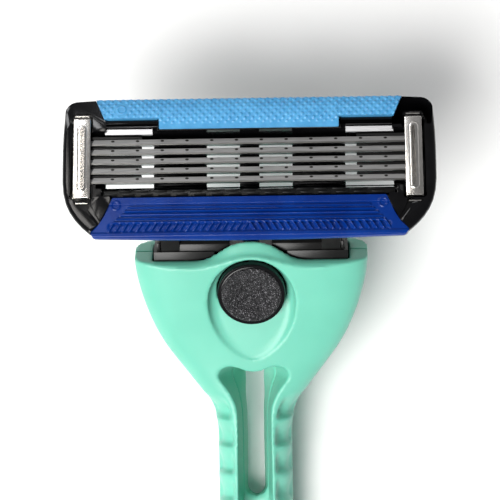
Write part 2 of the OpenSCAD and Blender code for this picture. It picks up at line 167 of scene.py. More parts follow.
def prism(bm, outline, z0, z1, matrix=None):
    """Closes an outline and extrudes it from z0 to z1. matrix turns it afterwards."""
    ring = [bm.verts.new((x, y, z0)) for x, y in outline]
    face = bm.faces.new(ring)
    grown = bmesh.ops.extrude_face_region(bm, geom=[face])["geom"]
    top = [g for g in grown if isinstance(g, bmesh.types.BMVert)]
    bmesh.ops.translate(bm, verts=top, vec=(0, 0, z1 - z0))
    verts = ring + top
    if matrix:
        bmesh.ops.transform(bm, verts=verts, matrix=matrix)
    return verts


ALONG_X = Matrix(((0, 0, 1, 0), (1, 0, 0, 0), (0, 1, 0, 0), (0, 0, 0, 1)))


def bar(bm, outline, x0, x1):
    """Extrudes an outline drawn in the other two directions along X."""
    return prism(bm, outline, x0, x1, ALONG_X)


def box(bm, x0, x1, y0, y1, z0, z1):
    """A block between two corners."""
    return prism(bm, [(x0, y0), (x1, y0), (x1, y1), (x0, y1)], z0, z1)


def rings(bm, loops):
    """Skins a row of point loops, each a list of 3-D points, and caps both ends."""
    made = []
    for loop in loops:
        made.append([bm.verts.new(p) for p in loop])
    edges = []
    for row in made:
        edges.append([bm.edges.new((a, b)) for a, b in zip(row, row[1:] + row[:1])])
    for a, b in zip(edges, edges[1:]):
        bmesh.ops.bridge_loops(bm, edges=a + b)
    bm.faces.new(made[0])
    bm.faces.new(made[-1])


def spin_profile(bm, profile, steps, middle):
    """Turns a profile of (radius, height) points about an upright axis through middle."""
    cx, cy = middle
    verts = [bm.verts.new((cx + r, cy, z)) for r, z in profile]
    edges = [bm.edges.new(pair) for pair in zip(verts, verts[1:])]
    bmesh.ops.spin(
        bm,
        geom=verts + edges,
        cent=(cx, cy, 0),
        axis=(0, 0, 1),
        angle=2 * math.pi,
        steps=steps,
        use_merge=True,
        use_duplicate=False,
    )
    bmesh.ops.remove_doubles(bm, verts=bm.verts[:], dist=1e-4)


def sharpen(bm, degrees=32):
    """Smooth faces, with edges sharper than this kept crisp."""
    for face in bm.faces:
        face.smooth = True
    limit = math.radians(degrees)
    for edge in bm.edges:
        edge.smooth = len(edge.link_faces) != 2 or edge.calc_face_angle(0) < limit


def round_edges(bm, width, segments=2, degrees=30, pick=None):
    """Bevels every edge sharper than this, or those that pick accepts."""
    limit = math.radians(degrees)
    sharp = [e for e in bm.edges if len(e.link_faces) == 2 and e.calc_face_angle(0) > limit]
    if pick:
        sharp = [e for e in sharp if pick(e)]
    bmesh.ops.bevel(
        bm,
        geom=sharp,
        offset=width,
        segments=segments,
        affect="EDGES",
        profile=0.5,
        material=-1,
        clamp_overlap=True,
    )


def as_object(name, bm, matrix):
    """Puts a bmesh, drawn in local millimetres, into the scene with its place in its mesh."""
    bmesh.ops.remove_doubles(bm, verts=bm.verts[:], dist=1e-5)
    bmesh.ops.transform(bm, verts=bm.verts[:], matrix=matrix)
    bmesh.ops.recalc_face_normals(bm, faces=bm.faces[:])
    mesh = bpy.data.meshes.new(name)
    bm.to_mesh(mesh)
    bm.free()
    obj = bpy.data.objects.new(name, mesh)
    bpy.context.scene.collection.objects.link(obj)
    return obj


def baked(obj):
    """Applies the object's modifiers to its mesh."""
    graph = bpy.context.evaluated_depsgraph_get()
    mesh = bpy.data.meshes.new_from_object(obj.evaluated_get(graph))
    obj.modifiers.clear()
    old = obj.data
    obj.data = mesh
    bpy.data.meshes.remove(old)
    return obj


def carve(obj, cutters):
    """Cuts the cutter objects out of obj and removes them."""
    for cutter in cutters:
        cut = obj.modifiers.new("cut", "BOOLEAN")
        cut.operation = "DIFFERENCE"
        cut.solver = "EXACT"
        cut.object = cutter
    baked(obj)
    for cutter in cutters:
        bpy.data.objects.remove(cutter)
    return obj


def soften(obj, voxel, passes, factor=0.5):
    """Rebuilds a solid at an even grain and relaxes it, which rounds its edges as a mould does."""
    grain = obj.modifiers.new("grain", "REMESH")
    grain.mode = "VOXEL"
    grain.voxel_size = voxel * MM
    relax = obj.modifiers.new("relax", "SMOOTH")
    relax.factor = factor
    relax.iterations = passes
    return baked(obj)


def reshape(obj, edit):
    """Runs edit on the object's mesh as a bmesh in the shared frame."""
    bm = bmesh.new()
    bm.from_mesh(obj.data)
    edit(bm)
    bm.to_mesh(obj.data)
    bm.free()
    return obj


def piece(obj, body, slot, finish, *nodes):
    """Gives a finished mesh its material, its body and the CAD nodes it stands for."""
    for made in finish if isinstance(finish, (list, tuple)) else [finish]:
        obj.data.materials.append(made)
    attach(obj, body)
    if nodes:
        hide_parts(*nodes)
    return obj


# ---------------------------------------------------------------- materials


class Value:
    """A number that varies over a surface, which can be used in sums."""

    def __init__(self, finish, socket):
        self.finish, self.socket = finish, socket

    def math(self, operation, *others, first=None):
        terms = [self, *others] if first is None else [first, self, *others]
        return self.finish.add("ShaderNodeMath", {"operation": operation}, dict(enumerate(terms)))

    def __add__(self, other):
        return self.math("ADD", other)

    def __mul__(self, other):
        return self.math("MULTIPLY", other)

    def __rsub__(self, other):
        return self.math("SUBTRACT", first=other)

    __radd__ = __add__
    __rmul__ = __mul__

    def above(self, lo, hi):
        """0 below lo, 1 above hi, smooth between."""
        links = {0: self, 1: lo, 2: hi, 3: 0.0, 4: 1.0}
        return self.finish.add("ShaderNodeMapRange", {"interpolation_type": "SMOOTHSTEP"}, links)


class Finish:
    """A material under construction."""

    def __init__(self, name, **sockets):
        self.material = bpy.data.materials.new(name)
        self.material.use_nodes = True
        self.tree = self.material.node_tree
        self.shader = self.tree.nodes["Principled BSDF"]
        for key, value in sockets.items():
            self.shader.inputs[key.replace("_", " ").title().replace("Ior", "IOR")].default_value = value

    def add(self, kind, settings=None, links=None, output=0):
        node = self.tree.nodes.new(kind)
        for key, value in (settings or {}).items():
            setattr(node, key, value)
        for key, value in (links or {}).items():
            if isinstance(value, Value):
                self.tree.links.new(value.socket, node.inputs[key])
            else:
                node.inputs[key].default_value = value
        return Value(self, node.outputs[output])

    def place(self, stretch=(1, 1, 1)):
        """Object coordinates in millimetres, stretched along each axis."""
        spot = self.add("ShaderNodeTexCoord", output=3)
        scale = [k / MM for k in stretch]
        return self.add("ShaderNodeVectorMath", {"operation": "MULTIPLY"}, {0: spot, 1: scale})

    def noise(self, scale, detail=3.0, stretch=(1, 1, 1), roughness=0.5):
        links = {"Vector": self.place(stretch), "Scale": scale, "Detail": detail, "Roughness": roughness}
        return self.add("ShaderNodeTexNoise", {}, links)

    def cells(self, scale):
        links = {"Vector": self.place(), "Scale": scale}
        return self.add("ShaderNodeTexVoronoi", {}, links)

    def mix(self, share, a, b):
        return self.add("ShaderNodeMix", {"data_type": "RGBA"}, {0: share, 6: (*a, 1), 7: (*b, 1)}, 2)

    def feed(self, key, value):
        self.tree.links.new(value.socket, self.shader.inputs[key])

    def bump(self, height, distance, strength=1.0):
        links = {"Height": height, "Distance": distance * MM, "Strength": strength}
        self.feed("Normal", self.add("ShaderNodeBump", {}, links))


def mint_plastic():
    f = Finish("mint_plastic", subsurface_weight=0.06, subsurface_scale=0.0008, ior=1.47)
    cloud = f.noise(0.16, 2.0)
    f.feed("Base Color", f.mix(cloud.above(0.3, 0.7), (0.15, 0.53, 0.40), (0.163, 0.56, 0.425)))
    grain = f.noise(6.0, 3.0)
    f.feed("Roughness", 0.3 + grain * 0.14)
    f.bump(grain, 0.006)
    return f.material


def black_plastic(name, colour, rough, grain_depth, spread=0.08):
    f = Finish(name, ior=1.5)
    cloud = f.noise(0.5, 3.0)
    lighter = tuple(c * 1.5 for c in colour)
    f.feed("Base Color", f.mix(cloud.above(0.35, 0.7), colour, lighter))
    grain = f.noise(9.0, 3.0)
    f.feed("Roughness", rough - spread / 2 + cloud * spread)
    f.shader.inputs["Specular IOR Level"].default_value = 0.3
    f.bump(grain, grain_depth)
    return f.material


def button_plastic():
    f = Finish("button_plastic", ior=1.5)
    grain = f.noise(3.0, 2.0, roughness=0.7)
    # painted glints: pale specks in the base colour stand in for the sparkle of light on the grained top
    glint_cells = f.cells(7.5)
    painted_glints = (1 - glint_cells.above(0.16, 0.4)) * grain.above(0.38, 0.62)
    f.feed("Base Color", f.mix(painted_glints, (0.006, 0.006, 0.008), (0.36, 0.355, 0.38)))
    f.feed("Roughness", 0.3 + grain * 0.2)
    f.shader.inputs["Specular IOR Level"].default_value = 0.45
    f.bump(f.noise(6.0, 1.0), 0.3)
    return f.material


def soft_blue():
    f = Finish("soft_blue", ior=1.35)
    cloud = f.noise(0.35, 3.0)
    f.feed("Base Color", f.mix(cloud.above(0.3, 0.7), (0.0, 0.02, 0.17), (0.0005, 0.03, 0.22)))
    grain = f.noise(7.0, 2.0)
    f.feed("Roughness", 0.16 + grain * 0.12)
    f.bump(grain, 0.01)
    return f.material


def waxy_blue():
    f = Finish("waxy_blue", ior=1.45, subsurface_weight=0.1, subsurface_scale=0.0006)
    cloud = f.noise(0.8, 3.0)
    f.feed("Base Color", f.mix(cloud.above(0.3, 0.7), (0.062, 0.29, 0.56), (0.085, 0.35, 0.64)))
    grain = f.noise(10.0, 3.0)
    f.feed("Roughness", 0.24 + grain * 0.16)
    f.bump(grain, 0.02)
    return f.material


def steel(name, colour, dark, rough, stretch=(0.12, 3, 3), scratch=0.004):
    f = Finish(name, metallic=1.0)
    brush = f.noise(4.0, 4.0, stretch)
    f.feed("Base Color", f.mix(brush.above(0.3, 0.75), dark, colour))
    f.feed("Roughness", rough + brush * 0.14)
    f.bump(brush, scratch)
    return f.material


def weld_mark():
    f = Finish("weld_mark", metallic=0.6)
    scorch = f.noise(5.0, 2.0)
    f.feed("Base Color", f.mix(scorch, (0.012, 0.011, 0.010), (0.05, 0.045, 0.04)))
    f.feed("Roughness", 0.45 + scorch * 0.2)
    return f.material


MINT = mint_plastic()
GLOSS = black_plastic("gloss_black", (0.003, 0.003, 0.0035), 0.14, 0.003)
SATIN = black_plastic("satin_black", (0.007, 0.007, 0.007), 0.3, 0.01)
# the button's black, with painted glints in its colour and a grained bump
GRAIN_AND_GLINTS = button_plastic()
RUBBER = soft_blue()
WAX = waxy_blue()
BLADE = steel("blade_steel", (0.66, 0.65, 0.63), (0.5, 0.49, 0.48), 0.3)
EDGE = steel("honed_edge", (0.30, 0.295, 0.28), (0.2, 0.2, 0.19), 0.25)
SUPPORT = steel("support_steel", (0.4, 0.4, 0.41), (0.3, 0.3, 0.31), 0.38)
WIRE = steel("spring_wire", (0.55, 0.55, 0.56), (0.42, 0.42, 0.43), 0.25)
CLIP = steel("clip_aluminium", (0.9, 0.87, 0.83), (0.8, 0.77, 0.73), 0.16, (1.2, 0.25, 1.2), 0.0015)
WELD = weld_mark()

# ---------------------------------------------------------------- handle

SLOPE = math.atan2(ALONG.z, ALONG.y)
BEND_R = 50.0
OVERHANG = 1.7
HEAD_L = 8.5
STEM_Z = 4.0
TAIL_Y = cad_box[0][1] / MM
ARC_Y = MOUTH.y - HEAD_L * math.cos(SLOPE)
GRIP_Y = ARC_Y - BEND_R * math.sin(SLOPE)
ARC_D = MOUTH.y - GRIP_Y
FULL_D = MOUTH.y - TAIL_Y
# lip: how far it stands out in the middle and at its ends
LIP_S, LIP_END_S = 1.5, 0.12
LIP_HUMP = 0.95
HALF_W = [
    (-2, 13.32), (1.7, 13.3), (3.4, 12.95), (5.1, 12.5), (7.1, 11.75), (9.7, 10.55), (11.8, 9.1),
    (13.1, 8.1), (14.4, 7.15), (15.5, 6.3), (16.6, 5.5), (17.7, 4.9), (18.7, 4.55), (20, 4.38), (22, 4.33),
    (ARC_D - 2, 4.35), (ARC_D + 14, 5.4), (ARC_D + 27, 6.05), (ARC_D + 40, 6.3), (FULL_D - 35, 6.1),
    (FULL_D - 22, 5.67), (FULL_D - 8, 4.8), (FULL_D - 5, 4.3), (FULL_D - 3.2, 3.78), (FULL_D - 1.8, 3.1),
    (FULL_D - 1, 2.5), (FULL_D - 0.4, 1.85), (FULL_D, 1.25),
]
HALF_T = [
    (-2, 3.7), (9, 3.7), (16, 3.6), (ARC_D, 4.2), (ARC_D + 14, 4.2), (ARC_D + 38, 4.8),
    (FULL_D - 14, 4.25), (FULL_D - 5, 4.2), (FULL_D - 2.2, 3.3), (FULL_D - 0.6, 2.0), (FULL_D, 1.1),
]
FULLNESS = [(0, 4.2), (8, 4.2), (12, 3.6), (18, 2.9), (FULL_D - 6, 2.7), (FULL_D, 2.3)]
SCALLOP = 3.37
SCALLOP_START, SCALLOP_DEPTH, LAST_SCALLOP = 15.59, 1.25, 13


def eased(table, d):
    """A table's value, averaged over a short stretch so that its corners are round."""
    reach = min(1.2, FULL_D - d + 0.01, d + 2.5)
    return sum(lerp_table(table, d + k * reach / 3) for k in (-3, -2, -1, 0, 1, 2, 3)) / 7


def centre(y):
    """Slope and height of the handle's middle line at y."""
    if y >= ARC_Y:
        return SLOPE, MOUTH.z - (MOUTH.y - y) * math.tan(SLOPE)
    if y >= GRIP_Y:
        a = math.asin(math.sin(SLOPE) - (ARC_Y - y) / BEND_R)
        return a, STEM_Z + BEND_R * (1 - math.cos(a))
    u = (MOUTH.y - y - ARC_D - 12) / (FULL_D - 8 - ARC_D - 12)
    rise = 1.1 * math.sin(math.pi * u) ** 2 if 0 < u < 1 else 0.0
    return 0.0, STEM_Z + rise


def scallop(d, turn):
    """Depth of the finger notches on the front corners, at a turn round the section."""
    run = d - SCALLOP_START
    count = math.floor(run / SCALLOP)
    if run < 0 or count > LAST_SCALLOP:
        return 0.0
    u = run / SCALLOP - count
    dip = smoothstep(0.0, 0.72, u) * (1 - smoothstep(0.88, 1.0, u))
    band = smoothstep(0.43, 0.52, abs(math.cos(turn)))
    return SCALLOP_DEPTH * dip * band * smoothstep(0.0, 0.2, math.sin(turn))


def section(y, side, steps=44):
    """One ring of the handle's front (side 1) or back (side -1) shell."""
    slope, z = centre(y)
    d = MOUTH.y - y
    w, t, m = eased(HALF_W, d), eased(HALF_T, d), 2 / eased(FULLNESS, d)
    ring = []
    for j in range(steps + 1):
        turn = math.pi * j / steps
        c, q = math.cos(turn), math.sin(turn)
        cut = scallop(d, turn) if side > 0 else 0.0
        x = (w - cut * 0.35) * math.copysign(abs(c) ** m, c)
        n = side * (t - cut) * abs(q) ** m
        ring.append((x, y - n * math.sin(slope), max(0.0, z + n * math.cos(slope))))
    return ring


def handle_loft(name, side):
    """One shell of the handle, with its rings closer together where the notches are."""
    ys = [MOUTH.y + OVERHANG]
    while ys[-1] > TAIL_Y + 0.75:
        ys.append(ys[-1] - (0.3 if 14 < MOUTH.y - ys[-1] < 62 else 0.6))
    ys += [TAIL_Y + 0.45, TAIL_Y + 0.25, TAIL_Y + 0.1, TAIL_Y]
    bm = bmesh.new()
    rings(bm, [section(y, side) for y in ys])
    return as_object(name, bm, SHARED)


def lip_line():
    """Wavy edge of the front lip: points (x, s) from left to right."""
    half = []
    for i in range(25):
        x = 9.6 * i / 24
        half.append((x, LIP_END_S + (LIP_S - LIP_END_S) * (1 - smoothstep(0.2, 7.2, x)) ** 1.15))
    return [(-x, s) for x, s in reversed(half[1:])] + half


def cutter(name, matrix, *fills):
    """An object to be cut out of another, drawn by each of the fills in turn."""
    bm = bmesh.new()
    for fill in fills:
        fill(bm)
    bmesh.ops.recalc_face_normals(bm, faces=bm.faces[:])
    return as_object(name, bm, matrix)


def head_cutters(front):
    """The socket, the latch channels and the room for the release parts."""
    mech_x = BUTTON_R + 1.75
    mech_s = BUTTON_S - BUTTON_R - 2.25
    tee = [(-SOCK_X, 12), (-SOCK_X, -SOCK_S), (-mech_x, -SOCK_S), (-mech_x, mech_s)]
    tee += [(-x, s) for x, s in reversed(tee)]
    made = [cutter("socket", HEAD, lambda bm: prism(bm, tee, -CAV_N, CAV_N))]
    for m in (-1, 1):
        xs = span(m, ARM_O - 0.85, SOCK_X - 0.03)
        made.append(cutter("channel", HEAD, lambda bm: box(bm, *xs, -7.1, -SOCK_S + 0.5, -1.5, 1.5)))
    if front:
        edge = [(-40, LIP_END_S)] + lip_line() + [(40, LIP_END_S), (40, 12), (-40, 12)]
        # height, shift along the head and share of the hump in the middle
        levels = ((-20, -0.75, 1), (CAV_N + 0.3, -0.75, 1), (CAV_N + 0.85, -0.95, 0))
        levels += ((HEAD_H + 0.3, -1.5, 0), (20, -1.5, 0))
        loops = []
        for n, shift, hump in levels:
            loop = []
            for x, s in edge:
                on_lip = abs(x) < 30 and s < 9
                more = hump * LIP_HUMP * (1 - smoothstep(1.6, 5.4, abs(x))) if on_lip else 0
                loop.append((x, s + shift + more, n))
            loops.append(loop)
        made.append(cutter("lip", HEAD, lambda bm: rings(bm, loops)))
        hole = arc(0, BUTTON_S, BUTTON_R + 0.06, 0, 360, 96)[:-1]
        made.append(cutter("hole", HEAD, lambda bm: prism(bm, hole, 0.5, 12)))
    else:
        made.append(cutter("mouth", HEAD, lambda bm: box(bm, -60, 60, -0.63, 20, -20, 20)))
    return made


EGG_X, EGG_MID = 5.05, -1.2
THUMB_DEPTH = 1.1


def egg(turn):
    """Outline of the thumb recess about the button's centre."""
    c, q = math.cos(turn), math.sin(turn)
    if q >= 0:
        return EGG_X * c, EGG_MID + 5.5 * q
    return EGG_X * math.copysign(abs(c) ** 1.22, c), EGG_MID + 7.3 * q


def thumb_cutter():
    """An egg-shaped recess whose floor falls from the tip towards the button."""
    turns = [2 * math.pi * i / 96 for i in range(96)]
    # share of the outline, rise over the face and share of the depth
    steps = ((1.05, 1.3, 0), (1.0, 0.02, 0), (0.97, 0, 0.5), (0.92, 0, 0.8), (0.82, 0, 1.0), (0.4, 0, 1.0))
    loops = []
    for share, rise, sink in steps:
        loop = []
        for x, y in map(egg, turns):
            y = share * (y + 2.1) - 2.1
            depth = min(THUMB_DEPTH, 0.03 + 0.155 * (y + 8.4))
            loop.append((share * x, BUTTON_S + y, HEAD_H + rise - sink * depth))
        loops.append(loop)
    return cutter("thumb", HEAD, lambda bm: rings(bm, loops))


SLOT_TOP = ARC_Y - 6.4
SLOT_END = SLOT_TOP - 14.3
GROOVE_END = SLOT_END - 13


def slot_half(level):
    """Right half of the neck groove's outline seen from above, wide at level 1, narrow at 0."""
    lobe, waist, gap = 4.3, 2.75, 2.0
    wide = [
        (0.0, -0.75), (0.7, -0.68), (1.4, -0.42), (2.0, -0.16), (2.7, -0.02), (3.4, -0.14), (3.95, -0.45),
        (lobe, -0.95), (4.25, -1.4), (3.85, -1.95), (3.3, -2.55), (waist, -3.25), (2.35, -4.0),
        (2.05, -4.7), (gap, -5.7), (gap - 0.03, -8), (gap, -11), (gap, -14), (gap, -17), (gap, -20),
        (gap, -23), (gap, -25.8), (gap * 0.7, -26.5), (0.0, -26.8),
    ]
    slim = [
        (0.0, 1.0), (0.3, 1.0), (0.5, 0.98), (0.65, 0.92), (0.75, 0.85), (0.85, 0.7), (0.92, 0.5),
        (0.97, 0.2), (1.0, -0.3), (1.02, -0.9), (1.04, -1.6), (1.05, -2.6), (1.03, -3.8),
        (0.98, -5.2), (0.97, -6.0), (0.96, -8), (0.96, -11), (0.96, -14), (0.96, -17), (0.96, -20),
        (0.96, -23), (0.96, -25.0), (0.6, -25.4), (0.0, -25.5),
    ]
    return [
        (a[0] * level + b[0] * (1 - level), SLOT_TOP + a[1] * level + b[1] * (1 - level))
        for a, b in zip(wide, slim)
    ]


def groove_cutter(name, outline, levels):
    """A cutter skinned over level planes. outline pairs the groove's wide and narrow points."""
    loops = []
    for z in levels:
        half = []
        for (wx, wy), (nx, ny) in outline:
            slope, mid = centre((wy + ny) / 2)
            level = min(1.12, max(0.0, 0.45 + 0.153 * (z - mid) * math.cos(slope)))
            half.append((wx * level + nx * (1 - level), wy * level + ny * (1 - level), z))
        loops.append(half + [(-x, y, z) for x, y, z in reversed(half[1:-1])])
    return cutter(name, SHARED, lambda bm: rings(bm, loops))


def groove_cutters(front):
    """The flared groove through the neck, the shallower one below it, and the bridge between."""
    pairs = list(zip(slot_half(1), slot_half(0)))
    turn = [((1.3, SLOT_TOP - 15.0), (0.62, SLOT_TOP - 14.7))]
    turn += [((0, SLOT_TOP - 15.3), (0, SLOT_TOP - 14.95))]
    deep = [24, 19, 16, 14, 12, 10.5, 9, 7.5, 6, 5, 4, 3, 2, -1]
    made = [groove_cutter("through", pairs[:18] + turn, deep)]
    if front:
        start = [((0, SLOT_TOP - 12), (0, SLOT_TOP - 12))]
        start += [((1.3, SLOT_TOP - 12.4), (0.5, SLOT_TOP - 12.4))]
        made.append(groove_cutter("groove", start + pairs[17:], [24, 12, 9, 7.5, 6, 5, 4, 3.2]))
    else:
        outline = rounded(-0.97, 0.97, GROOVE_END + 1, SLOT_END - 1.5, 0.6)
        made.append(cutter("gap", SHARED, lambda bm: prism(bm, outline, -5, 50)))
    return made


def handle_front():
    obj = handle_loft("handle_front", 1)
    carve(obj, head_cutters(True) + [thumb_cutter()] + groove_cutters(True))
    soften(obj, 0.2, 2)
    reshape(obj, lambda bm: sharpen(bm, 60))
    return piece(obj, "handle", "mint_plastic", MINT, "handle_front_shell")


def handle_back():
    obj = handle_loft("handle_back", -1)
    carve(obj, head_cutters(False) + groove_cutters(False))
    soften(obj, 0.25, 2)
    reshape(obj, lambda bm: sharpen(bm, 60))
    return piece(obj, "handle", "mint_plastic", MINT, "handle_back_shell")


handle_front()
handle_back()

# ---------------------------------------------------------------- button


def button():
    """A dished cap with a raised rim, above the wedges that work the ejector."""
    top = HEAD_H + 0.4
    profile = [(0.0, top - 0.62), (1.0, top - 0.6), (1.7, top - 0.5), (2.2, top - 0.3), (2.6, top - 0.12)]
    profile += [(3.05, top - 0.04), (3.2, top), (3.32, top - 0.03), (3.38, top - 0.14), (3.46, top - 0.2)]
    profile += [(3.62, top - 0.17), (3.78, top - 0.19), (BUTTON_R - 0.02, top - 0.3), (BUTTON_R, top - 0.45)]
    profile += [(BUTTON_R, CAV_N - 0.2), (BUTTON_R - 0.3, CAV_N - 1.1), (0.0, CAV_N - 1.1)]
    bm = bmesh.new()
    spin_profile(bm, profile, 128, (0, BUTTON_S))
    dish_r = 3.36
    wedge_s = BUTTON_S - 0.4
    flange_n = CAV_N - 1.1
    wedge = [(wedge_s - 2.6, flange_n + 0.02), (wedge_s + flange_n, flange_n + 0.02)]
    wedge += [(wedge_s - 0.95, -0.95), (wedge_s - 2.6, -0.95)]
    bar(bm, wedge, 2.2, 3.4)
    bar(bm, wedge, -3.4, -2.2)
    for face in bm.faces:
        spot = face.calc_center_median()
        outside = math.hypot(spot.x, spot.y - BUTTON_S) > dish_r
        face.material_index = int(outside or spot.z < HEAD_H - 0.4)
    obj = as_object("button", bm, HEAD)
    # the skirt is cut off clear of the connector
    carve(obj, [cutter("clear", HEAD, lambda bm: box(bm, -9, 9, -SOCK_S + 0.1, 9, -9, CAV_N - 0.2))])
    reshape(obj, lambda bm: sharpen(bm, 50))
    return piece(obj, "button", "black_button", [GRAIN_AND_GLINTS, GLOSS], "eject_button")


button()

# ---------------------------------------------------------------- cartridge frame

SIDE = (
    [(17.45, 8.25), (18.9, 8.18)]
    + arc(19.3, 6.65, 1.5, 82, 12, 8)
    + [(20.86, 5.6), (20.95, 4.2), (21.0, 2.4), (21.0, 0.4), (20.98, -1.6), (20.85, -2.9)]
    + [(20.55, -4.1), (20.1, -5.1), (19.5, -6.0), (18.8, -6.8), (18.1, -7.45), (17.5, -7.9)]
)


def frame_outline(shrink=0.0, lift=0.0):
    """Outline of the frame. The back is smaller, and cut away below the guard."""
    right = []
    for x, y in SIDE:
        low = min(1.0, max(0.0, -1.5 - y) / 6.4)
        right.append((x - shrink, y + lift * low - (shrink if y > 4 else 0)))
    return right + [(-x, y) for x, y in reversed(right)]


def strip_outline(grow):
    """Seat of the lubricating strip, with its notches."""
    t, b, n = 8.4, 4.56, 5.81
    h, q, i = 17.35, 16.25, 10.2
    half = [(i + grow, b - grow), (i + grow, n - grow), (q + 2 * grow, n - grow), (h + grow, t + grow)]
    return half + [(-x, y) for x, y in reversed(half)]


def frame_blank():
    """The solid that the frame is cut from."""
    bm = bmesh.new()
    levels = ((CAP_W, 0, 0), (-1.0, 0.05, 0.2), (BACK_W, 0.55, 1.4))
    rings(bm, [[(x, y, w) for x, y in frame_outline(shrink, lift)] for w, shrink, lift in levels])
    bmesh.ops.recalc_face_normals(bm, faces=bm.faces[:])
    round_edges(bm, 0.5, 5, 20, lambda e: all(v.co.z > CAP_W - 0.01 for v in e.verts))
    return as_object("frame", bm, CART)


def lean(v):
    """How far the frame's face falls towards its top edge."""
    return 0.16 * max(0.0, v - 4.75)


def frame_cutters():
    """Cutters for the blade bay, the seats, the clips' pockets and the windows."""
    made = []

    def cut(*fills):
        made.append(cutter("cut", CART, *fills))

    # the blade bay, the step in front of the comb and the seats of guard and strip
    cut(lambda bm: box(bm, -18.3, 18.3, BAY_BOTTOM + 0.52, BAY_TOP, FLOOR_W, OVER_W))
    cut(lambda bm: box(bm, -17.2, 17.2, BAY_BOTTOM, BAY_BOTTOM + 0.6, FLOOR_W, OVER_W))
    cut(lambda bm: box(bm, -16.6, 16.6, COMB_BOTTOM, BAY_BOTTOM, -0.7, OVER_W))
    side = [(15.35, GUARD_TOP + 0.02), (15.75, -4.5), (16.8, -6.4), (17.75, -7.5), (17.9, -9)]
    seat = side + [(-x, y) for x, y in reversed(side)]
    cut(lambda bm: prism(bm, seat, -0.75, OVER_W))
    cut(lambda bm: box(bm, -15.6, 15.6, GUARD_TOP - 0.1, COMB_BOTTOM + 0.05, -0.75, OVER_W))
    cut(lambda bm: prism(bm, strip_outline(0.05), -0.7, OVER_W))
    # steps in the notches beside the strip
    for m in (-1, 1):
        xs = span(m, 10.32, 16.1)
        cut(lambda bm: box(bm, *xs, 5.35, 5.78, -0.1, OVER_W))
        cut(lambda bm: box(bm, *xs, 4.95, 5.2, -0.25, OVER_W))
        cut(lambda bm: box(bm, *xs, 4.1, 4.85, -0.62, OVER_W))
        # room round the clip, and the hollow beside it
        off, rise = CLIP_SHIFT[m]
        x0, x1 = span(m, 17.62, 19.93, off)
        levels = ((-0.15, 0), (CAP_W - 0.12, 0), (CAP_W + 0.02, 0.14), (OVER_W, 0.14))
        y0, y1 = CLIP_BOTTOM - 0.12 + rise, CLIP_TOP + 0.75 + rise
        loops = []
        for w, grow in levels:
            pocket = rounded(x0 - grow, x1 + grow, y0 - grow, y1 + grow, 0.35, 5)
            loops.append([(x, y, w) for x, y in pocket])
        straight = loops[:2] + [[(x, y, OVER_W) for x, y, _ in loops[1]]]
        cut(lambda bm: rings(bm, straight))
        cut(lambda bm: rings(bm, loops[1:]))
        low = CLIP_BOTTOM - 0.75 + rise
        cut(lambda bm: box(bm, *span(m, 17.9, 19.6, off), low, low + 0.3, -0.1, OVER_W))
        feet = span(m, CLIP_IN, CLIP_OUT)
        for v in (CLIP_BOTTOM + rise, CLIP_TOP - 0.3 + rise):
            cut(lambda bm: box(bm, feet[0] - 0.45, feet[1] + 0.05, v - 0.05, v + 0.35, UNDER_W, OVER_W))
        # rinse windows
        cut(lambda bm: box(bm, *span(m, 1.1, 4.85), BAY_BOTTOM + 0.3, BAY_TOP - 0.4, UNDER_W, OVER_W))
        cut(lambda bm: box(bm, *span(m, 10.85, 16.3), BAY_BOTTOM, BAY_TOP - 0.45, UNDER_W, OVER_W))
        # moulded groove on the wing beside the guard
        ends = (-2, -50) if m > 0 else (182, 230)
        groove = arc(m * 12.9, -2.9, 5.5, *ends, 14)
        groove += reversed(arc(m * 12.9, -2.9, 4.9, *ends, 14))
        cut(lambda bm: prism(bm, groove, CAP_W - 0.3, OVER_W))
    over = [(4.75, CAP_W), (9, CAP_W - lean(9)), (9, OVER_W), (4.75, OVER_W)]
    cut(lambda bm: bar(bm, over, -30, 30))
    # thin plate behind the guard
    cut(lambda bm: box(bm, -LUG_O - 0.6, LUG_O + 0.6, -9, PIVOT_V + 2.0, UNDER_W, PLATE_W))
    return made


def cam_point(degrees):
    """A point of the return cam's working face, an involute about the pivot."""
    a = math.radians(degrees)
    reach, lever, turn = 1.2, 2.2, math.acos(ALONG.dot(FACE_V))
    run = reach + lever * a
    s = -run * math.cos(a) + lever * math.sin(a)
    n = -run * math.sin(a) - lever * math.cos(a)
    return (
        PIVOT_V + s * math.cos(turn) - n * math.sin(turn),
        PIVOT_W + s * math.sin(turn) + n * math.cos(turn),
    )


def frame_extras():
    """Bearing lugs, return cam and the sprung fingers between the blades."""
    bm = bmesh.new()
    for m in (-1, 1):
        lug = arc(PIVOT_V, PIVOT_W, LUG_R, 180, 360, 20)
        lug += [(PIVOT_V + LUG_R, PLATE_W + 0.05), (PIVOT_V - LUG_R, PLATE_W + 0.05)]
        bar(bm, lug, *span(m, LUG_I, LUG_O))
        for v in EDGES:
            finger = [(m * 18.35, v + 0.78), (m * 18.35, v + 1.2), (m * 12.1, v + 1.14)]
            finger += [(m * 12.1, v + 0.98), (m * 15.4, v + 0.84)]
            prism(bm, finger, FLOOR_W - 0.1, -0.42)
    cam = [cam_point(a) for a in range(-10, 46, 5)]
    cam += [(cam_point(45)[0] + 0.5, cam_point(40)[1] + 0.3), (cam_point(40)[0] + 1.5, BACK_W + 0.3)]
    cam += [(PIVOT_V + 2.05, BACK_W + 0.5), (PIVOT_V + 2.05, PLATE_W + 0.3)]
    cam += [(cam[0][0] - 0.05, PLATE_W + 0.3)]
    bar(bm, cam, -1.6, 1.6)
    bmesh.ops.recalc_face_normals(bm, faces=bm.faces[:])
    round_edges(bm, 0.03, 1, 40)
    return as_object("frame_details", bm, CART)


def finish_edges(obj, width=0.05):
    """A small round on every sharp edge."""
    bevel = obj.modifiers.new("edges", "BEVEL")
    bevel.width = width * MM
    bevel.segments = 2
    bevel.limit_method = "ANGLE"
    bevel.angle_limit = math.radians(35)
    bevel.harden_normals = False
    baked(obj)
    reshape(obj, lambda bm: sharpen(bm, 35))
    return obj


